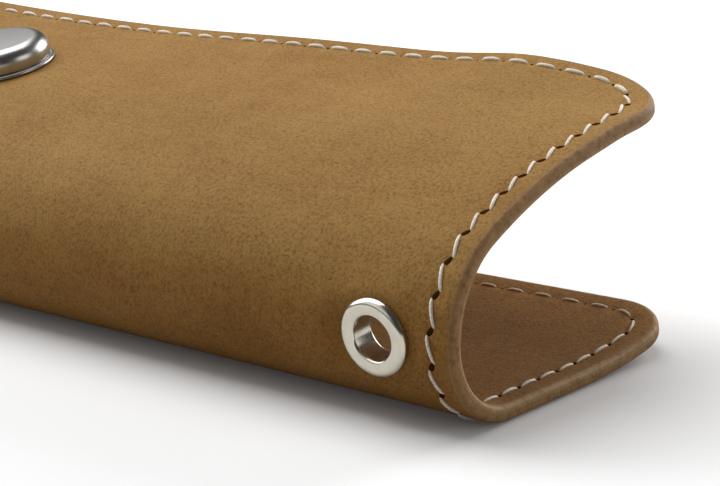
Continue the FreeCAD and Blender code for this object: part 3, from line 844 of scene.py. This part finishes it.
def awl_growth():
    """A slit at each point: a flat dark lens of painted shade in the leather, turned along its
    direction.
    """
    inputs = {"Slit length": ("NodeSocketFloat", 0.0014), "Slit width": ("NodeSocketFloat", 0.0005)}
    grow = Growth("awl_holes", inputs)
    ball = grow.add("GeometryNodeMeshUVSphere", {}, {"Segments": 12, "Rings": 4, "Radius": 0.5})
    sockets = {"X": grow.given("Slit length"), "Y": grow.given("Slit width"), "Z": SLIT_DEPTH * MM}
    size = grow.add("ShaderNodeCombineXYZ", {}, sockets)
    flat = grow.add("GeometryNodeTransform", {}, {0: ball, "Scale": size})
    axes = {"primary_axis": "Z", "secondary_axis": "X"}
    sockets = {0: grow.named("facing", "FLOAT_VECTOR"), 1: grow.named("slit", "FLOAT_VECTOR")}
    turn = grow.add("FunctionNodeAxesToRotation", axes, sockets)
    spots = grow.add("GeometryNodeMeshToPoints", {}, {0: grow.given("Geometry")})
    sockets = {"Points": spots, "Instance": flat, "Rotation": turn, "Scale": grow.named("size")}
    return grow.finish(grow.add("GeometryNodeInstanceOnPoints", {}, sockets), AWL_SHADE)


THREAD_TREE = thread_growth()
AWL_TREE = awl_growth()

# One stitch: shares of its length, how far its middle rises there, and how thick it is there.
STITCH_SHARE = np.array([0.0, 0.04, 0.13, 0.32, 0.5, 0.68, 0.87, 0.96, 1.0])
STITCH_RISE = np.array([-0.34, -0.10, 0.02, 0.07, 0.08, 0.07, 0.02, -0.10, -0.34])
STITCH_SWELL = np.array([0.6, 0.8, 0.97, 1.04, 1.06, 1.04, 0.97, 0.8, 0.6])
STITCH_SINK = 0.6  # share of the dents that the thread follows
THREAD_SIDES = 8
SIDE_SHADE_TINT = 0.1  # a stitch tinted more than this is one of the two long sides
SIDE_SWELL = 1.45  # and is this much fuller
TABLE_GAP = 1.7  # least way, in thread radii, from the table to the middle of a stitch


def half_at(t):
    return "lower" if t < SEAM_T else "upper"


class Seam:
    """How one face is sewn: the thread's radius, its lean, and the gap it leaves at each hole.

    sink is how much deeper the thread lies along the two long sides. There it is also tinted tan
    by a given share, a painted shade that also stands in for the blur of those stitches.
    """

    def __init__(self, face, radius, lean, end_gap, side_gap, sink, shade_tint, slit_length, slit_width):
        self.face = face
        self.radius = radius
        self.lean = lean
        self.gaps = (side_gap, end_gap)
        self.sink = sink
        self.shade_tint = shade_tint
        self.slit = (slit_length, slit_width)
        self.side = 1 if face == "outer" else -1
        self.level = 0.0 if face == "outer" else LEATHER

    def thread(self, first, last):
        """Points of one stitch from hole to hole, its share of painted shade, and its t.

        Under the case, the thread is kept above the table.
        """
        span = (last - first) % PATH.length
        _, _, step_x, step_t = PATH.at(first + span / 2)
        gap = self.gaps[0] * step_x**2 + self.gaps[1] * step_t**2
        across = self.lean * step_t**2 * (1 - 2 * STITCH_SHARE) + rng.uniform(-0.05, 0.05)
        ways = first + gap + (span - 2 * gap) * STITCH_SHARE
        places = np.array([PATH.at(way) for way in ways])
        x = places[:, 0] + places[:, 3] * across
        t = places[:, 1] - places[:, 2] * across
        rise = STITCH_RISE * rng.uniform(0.9, 1.12) - stitch_dents(x, t) * STITCH_SINK
        rise = rise - self.sink * step_x**2
        points = on_sheet(x, t, self.level - self.side * rise)
        points[:, 2] = np.maximum(points[:, 2], TABLE_GAP * self.radius * MM)
        return points, self.shade_tint * step_x**2, t.mean()

    def hole(self, s):
        """Place, facing, direction and size of the slit at one hole, and its t."""
        x, t, step_x, step_t = PATH.at(s)
        sunk = stitch_dents(np.array([x]), np.array([t]))[0]
        place = on_sheet(x, t, self.level + self.side * (sunk - SLIT_LIFT))
        facing = self.side * out_of_sheet(t)
        ahead = on_sheet(x + step_x * 0.1, t + step_t * 0.1, self.level)
        ahead = ahead - on_sheet(x, t, self.level)
        ahead /= np.linalg.norm(ahead)
        aside = self.side * np.cross(ahead, facing)
        return place, facing, ahead * SLIT_AHEAD + aside * SLIT_ASIDE, 1 - 0.5 * step_x**2, t

    def sew(self):
        """The stitches and awl slits, for the lower and the upper half."""
        sewn = {part: ([], [], [], []) for part in STRETCHES}
        slits = {part: ([], [], [], []) for part in STRETCHES}
        for first, last in zip(HOLES, np.roll(HOLES, -1)):
            points, shade_tint, t = self.thread(first, last)
            spots, joins, swell, shade_tints = sewn[half_at(t)]
            start = len(spots)
            spots.extend(points)
            joins.extend((start + k, start + k + 1) for k in range(len(points) - 1))
            fullness = SIDE_SWELL if shade_tint > SIDE_SHADE_TINT else 1.0
            swell.extend(STITCH_SWELL * rng.uniform(0.92, 1.08) * fullness)
            shade_tints.extend([shade_tint * rng.uniform(0.8, 1.2)] * len(points))
        for s in HOLES:
            *facts, t = self.hole(s)
            for column, value in zip(slits[half_at(t)], facts):
                column.append(value)
        for part in STRETCHES:
            self.add_thread(part, *sewn[part])
            self.add_slits(part, *slits[part])

    def add_thread(self, part, spots, joins, swell, shade_tints):
        inputs = {"Thread radius": self.radius * MM, "Sides": THREAD_SIDES}
        about = {"swell": ("FLOAT", swell), "shade_tint": ("FLOAT", shade_tints)}
        name = f"stitches_{self.face}_{part}"
        piece = grown(name, spots, joins, about, THREAD_TREE, inputs, THREAD)
        bend_with_case(piece, part)

    def add_slits(self, part, spots, faces, turns, sizes):
        inputs = {"Slit length": self.slit[0] * MM, "Slit width": self.slit[1] * MM}
        about = {"facing": ("FLOAT_VECTOR", faces), "slit": ("FLOAT_VECTOR", turns)}
        about["size"] = ("FLOAT", sizes)
        piece = grown(f"awl_holes_{self.face}_{part}", spots, [], about, AWL_TREE, inputs, AWL_SHADE)
        bend_with_case(piece, part)


TURNED_SIDES = 96


def arc(centre_r, centre_z, radius, first, last, steps):
    """Points of an arc of a turned piece's outline, angles in degrees."""
    turns = np.radians(np.linspace(first, last, steps + 1))
    return [(centre_r + radius * math.cos(a), centre_z + radius * math.sin(a)) for a in turns]


def turned(name, outline, place, material):
    """A piece turned on a lathe. The outline is closed, as distance from the axis and height."""
    turns = [2 * math.pi * n / TURNED_SIDES for n in range(TURNED_SIDES)]
    points = []
    rings = []
    for r, z in outline:
        start = len(points)
        if r < 1e-6:
            rings.append([start] * TURNED_SIDES)
            points.append((0.0, 0.0, z))
            continue
        rings.append(list(range(start, start + TURNED_SIDES)))
        points += [(r * math.cos(turn), r * math.sin(turn), z) for turn in turns]
    faces = []
    for one, two in zip(rings, rings[1:] + rings[:1]):
        for n in range(TURNED_SIDES):
            m = (n + 1) % TURNED_SIDES
            corners = list(dict.fromkeys((one[n], one[m], two[m], two[n])))
            if len(corners) > 2:
                faces.append(corners)
    placed = [place @ (Vector(p) * MM) for p in points]
    piece = new_piece(name, placed, faces, [material])
    close_up(piece.data, METAL_SHARP)
    return piece


def stand(x, y, z, tilt):
    """The frame of a metal piece with its foot at a place and its axis tilted in the section."""
    foot = Matrix.Translation(Vector((x, y - MIDDLE_Y, z)) * MM)
    return foot @ Matrix.Rotation(math.radians(tilt), 4, "X")


def on_snap(height):
    """The frame of the snap's upper half, at a height above the leather's outer surface."""
    turn = math.radians(SNAP_ANGLE)
    y = SNAP_Y - height * math.cos(turn)
    z = SNAP_Z + height * math.sin(turn)
    return stand(0, y, z, 90 - SNAP_ANGLE)


def in_eyelet(depth):
    """The frame of the eyelet, its axis pointing out, at a depth behind the outer surface."""
    way = tipped(90 + EYELET_TIP)
    return stand(EYELET_X, -depth * way[0], EYELET_Z - depth * way[1], 90 + EYELET_TIP)


def fit_metal(piece, node, body):
    """Sets a metal piece on a body in place of a node."""
    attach(piece, body)
    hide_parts(node)


# Heights above the leather's outer surface, at which the pieces of the snap's upper half start.
CAP_FOOT = 0.25
RING_FOOT = -0.35
SPRING_LEVEL = -4.55
SOCKET_FOOT = -5.4

CAP_HEIGHT = 3.0
CAP_TOP_R = 5.2  # where the cap's top meets its shoulder
CAP_DOME = 0.08  # how far the top is domed
CAP_SHOULDER_R = 1.8

WIRE_R = 0.25
BOW_R = 2.45  # of the hairpin's bow, and from the axis to each of its wires
BOW_X = -1.6
WIRE_X = (3.2, 0.8)  # the straight wires, from their ends towards the bow


def cap_outline():
    """A nearly flat top with a round shoulder, hollow from below."""
    crown = (CAP_TOP_R**2 + CAP_DOME**2) / (2 * CAP_DOME)
    half = math.degrees(math.asin(CAP_TOP_R / crown))
    cap = [(5.2, 0.0)] + arc(6.85, 0.15, 0.15, -90, 0, 4)
    cap += arc(CAP_TOP_R, CAP_HEIGHT - CAP_DOME - CAP_SHOULDER_R, CAP_SHOULDER_R, 0, 88, 16)
    cap += arc(0.0, CAP_HEIGHT - crown, crown, 90 - half + 0.1, 90, 8)
    cap += [(0.0, 2.2), (4.9, 2.2)] + arc(4.9, 0.6, 1.6, 80, 0, 6)
    return cap + [(6.5, 0.35), (5.2, 0.35)]


def spring_piece():
    """A hairpin of wire, its open end towards +x."""
    line = bpy.data.curves.new("snap_spring_wire", "CURVE")
    line.dimensions = "3D"
    line.bevel_depth = WIRE_R * MM
    line.bevel_resolution = 4
    line.use_fill_caps = True
    bow = [(x, BOW_R) for x in WIRE_X]
    for turn in np.radians(np.linspace(90, 270, 17)):
        bow.append((BOW_X + BOW_R * math.cos(turn), BOW_R * math.sin(turn)))
    bow += [(x, -BOW_R) for x in reversed(WIRE_X)]
    spline = line.splines.new("POLY")
    spline.points.add(len(bow) - 1)
    level = on_snap(SPRING_LEVEL)
    for point, (x, y) in zip(spline.points, bow):
        point.co = (*(level @ (Vector((x, y, 0)) * MM)), 1.0)
    wire = add_object("snap_spring_wire", line)
    mesh = plain_mesh(wire)
    bpy.data.objects.remove(wire)
    cover_with(mesh, STEEL)
    shade_smooth(mesh)
    return add_object("snap_spring_bright", mesh)


def dress_snap():
    """The snap's cap, ring, socket and spring on the upper flap, its stud and post on the lower."""
    ring = [(1.95, 0.0)] + arc(7.2, 0.3, 0.3, -90, 90, 10) + [(1.95, 0.6)]
    piece = turned("snap_ring_bright", ring, on_snap(RING_FOOT), SATIN)
    fit_metal(piece, "snap_ring", "panel")

    piece = turned("snap_cap_bright", cap_outline(), on_snap(CAP_FOOT), SATIN)
    fit_metal(piece, "snap_cap", "panel")

    socket = [(3.9, 0.0)] + arc(4.7, 0.4, 0.4, -90, 0, 6)
    socket += [(5.9, 3.6), (1.95, 3.6), (1.95, 3.0), (4.4, 3.0), (4.4, 0.6), (3.7, 0.6), (3.7, 0.2)]
    piece = turned("snap_socket_bright", socket, on_snap(SOCKET_FOOT), NICKEL)
    fit_metal(piece, "snap_socket", "panel")

    stud = [(1.5, 0.0), (5.2, 0.0)] + arc(4.85, 0.35, 0.35, 0, 90, 6)
    stud += arc(2.3, 0.9, 0.2, 270, 180, 4) + [(2.1, 1.95)]
    stud += arc(2.05, 2.3, 0.6, 0, 90, 8) + [(1.5, 2.9)]
    piece = turned("snap_stud_bright", stud, stand(0, STUD_Y, STUD_Z, 0), NICKEL)
    fit_metal(piece, "snap_stud", "base")

    rivet = [(0.0, 0.0)] + arc(4.5, 0.3, 0.3, -90, 0, 5) + [(4.8, 0.55), (1.45, 0.55), (1.45, 4.6)]
    rivet += arc(1.65, 4.6, 0.3, 0, 90, 5) + [(0.9, 4.9), (0.9, 0.55), (0.0, 0.55)]
    piece = turned("stud_post_bright", rivet, stand(0, STUD_Y, 0, 0), NICKEL)
    fit_metal(piece, "stud_post", "base")

    fit_metal(spring_piece(), "snap_spring", "panel")
    cover_with(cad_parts["snap_post"].data, NICKEL)


EYELET_FOOT = 3.05  # depths of the two pieces' inner ends behind the leather's outer surface
WASHER_FOOT = 2.6


def dress_eyelet():
    eyelet = arc(2.85, 0.45, 0.45, 180, 360, 12)
    eyelet += [(2.75, 0.45), (2.75, 2.3), (4.2, 2.3)]
    eyelet += arc(3.45, 2.5, 0.75, 0, 90, 10)
    eyelet += arc(2.75, 2.8, 0.35, 90, 180, 8)
    piece = turned("eyelet_bright", eyelet, in_eyelet(EYELET_FOOT), NICKEL)
    fit_metal(piece, "eyelet", "base")
    washer = [(2.8, 0.0)] + arc(3.45, 0.25, 0.25, -90, 0, 5) + [(3.7, 0.5), (2.8, 0.5)]
    piece = turned("eyelet_washer_bright", washer, in_eyelet(WASHER_FOOT), NICKEL)
    fit_metal(piece, "eyelet_washer", "base")


WHITE = (1.0, 1.0, 1.0, 1.0)

# The floor, in metres. Away from the case it turns plain white for the camera.
FLOOR_HALF = 3
FLOOR_Z = -0.0001
FADE_START = 0.26
FADE_END = 0.5

# Soft lamps: name, place, what it points at and size, in metres, and power.
LAMPS = [
    ("top_lamp", (-0.35, 0.06, 0.75), (0.0, 0.0, 0.0), 0.8, 7.8),
    ("left_lamp", (-0.76, -0.18, 0.45), (0.0, 0.0, 0.02), 0.6, 2.7),
    ("back_lamp", (0.1, 0.78, 0.3), (0.05, 0.0, 0.012), 0.5, 5.0),
    ("right_lamp", (0.75, 0.24, 0.2), (0.09, 0.0, 0.01), 0.4, 1.1),
]

CAMERA_PLACE = (207.2, -165.714, 66.55)
CAMERA_TURN = (130.829, 14.088, -1.303)  # heading, looking down and roll, in degrees
CAMERA_LENS = 100.0
SENSOR_WIDTH = 36.0


def floor_paint():
    """White that shows the case's shadow. The light that it throws back is kept low."""
    paint = new_paint("floor_white")
    plain = paint.add("ShaderNodeBsdfDiffuse", {}, {"Color": (0.5, 0.5, 0.5, 1.0)})
    white = paint.add("ShaderNodeBsdfDiffuse", {}, {"Color": (0.86, 0.86, 0.86, 1.0)})
    glow = paint.add("ShaderNodeEmission", {}, {"Color": WHITE, "Strength": 0.03})
    both = paint.add("ShaderNodeAddShader", {}, {0: white, 1: glow})
    bright = paint.add("ShaderNodeEmission", {}, {"Color": WHITE, "Strength": 1.0})
    away = paint.add("ShaderNodeVectorMath", {"operation": "LENGTH"}, {0: paint.place()}, "Value")
    far = away.between(FADE_START, FADE_END)
    fading = paint.add("ShaderNodeMixShader", {}, {0: far, 1: both, 2: bright})
    mixed = paint.by_ray(plain, [("Is Glossy Ray", both), ("Is Camera Ray", fading)])
    paint.add("ShaderNodeOutputMaterial", {}, {"Surface": mixed})
    return paint.owner


def lay_floor():
    around = [(-1, -1), (1, -1), (1, 1), (-1, 1)]
    corners = [(x * FLOOR_HALF, y * FLOOR_HALF, FLOOR_Z) for x, y in around]
    new_piece("floor", corners, [[0, 1, 2, 3]], [floor_paint()])


def build_room():
    """White for the camera, a dim light for the case, and a bright wall for its metal to mirror."""
    room = Shader(bpy.data.worlds.new("white_room"))
    bpy.context.scene.world = room.owner
    way = room.add("ShaderNodeTexCoord", {}, {}, "Generated")
    sockets = {0: way, 1: (-0.8, -0.6, 0.0)}
    side = room.add("ShaderNodeVectorMath", {"operation": "DOT_PRODUCT"}, sockets, "Value")
    height = room.add("ShaderNodeSeparateXYZ", {}, {0: way}, "Z")
    wall = side.between(0.1, 0.7, 0.06, 1.0) * height.between(0.1, 0.35, 0.12, 1.0)
    skies = []
    for strength in (0.15, wall, 1.0):
        sockets = {"Color": WHITE, "Strength": strength}
        skies.append(room.add("ShaderNodeBackground", {}, sockets))
    dim, mirrored, shown = skies
    mixed = room.by_ray(dim, [("Is Glossy Ray", mirrored), ("Is Camera Ray", shown)])
    room.add("ShaderNodeOutputWorld", {}, {"Surface": mixed})


def hang_lamps():
    for name, place, aim, size, power in LAMPS:
        lamp = bpy.data.lights.new(name, "AREA")
        lamp.size = size
        lamp.energy = power
        holder = add_object(name, lamp)
        holder.location = place
        holder.rotation_mode = "QUATERNION"
        holder.rotation_quaternion = (Vector(aim) - Vector(place)).to_track_quat("-Z", "Y")


def set_camera():
    """The camera stands where the photograph was taken from."""
    data = bpy.data.cameras.new("camera")
    data.sensor_fit = "HORIZONTAL"
    data.sensor_width = SENSOR_WIDTH
    data.lens = CAMERA_LENS
    data.clip_start = 0.01
    data.clip_end = 20.0
    yaw, pitch, roll = (math.radians(a) for a in CAMERA_TURN)
    level = math.cos(pitch)
    ahead = Vector((math.cos(yaw) * level, math.sin(yaw) * level, -math.sin(pitch)))
    right = ahead.cross(Vector((0, 0, 1))).normalized()
    up = right.cross(ahead)
    leaning = right * math.cos(roll) + up * math.sin(roll)
    up = up * math.cos(roll) - right * math.sin(roll)
    camera = add_object("camera", data)
    turn = Matrix((leaning, up, -ahead)).transposed().to_4x4()
    camera.matrix_world = Matrix.Translation(Vector(CAMERA_PLACE) * MM) @ turn
    bpy.context.scene.camera = camera


OUTER_SEAM = Seam(
    "outer",
    radius=0.17,
    lean=0.45,
    end_gap=0.36,
    side_gap=0.7,
    sink=0.0,
    shade_tint=0.2,
    slit_length=1.45,
    slit_width=0.72,
)
INNER_SEAM = Seam(
    "inner",
    radius=0.145,
    lean=0.0,
    end_gap=0.36,
    side_gap=0.85,
    sink=0.05,
    shade_tint=0.5,
    slit_length=0.9,
    slit_width=0.42,
)

set_camera()
dress_leather()
OUTER_SEAM.sew()
INNER_SEAM.sew()
dress_snap()
dress_eyelet()
lay_floor()
build_room()
hang_lamps()
bpy.context.scene.view_settings.view_transform = "Standard"
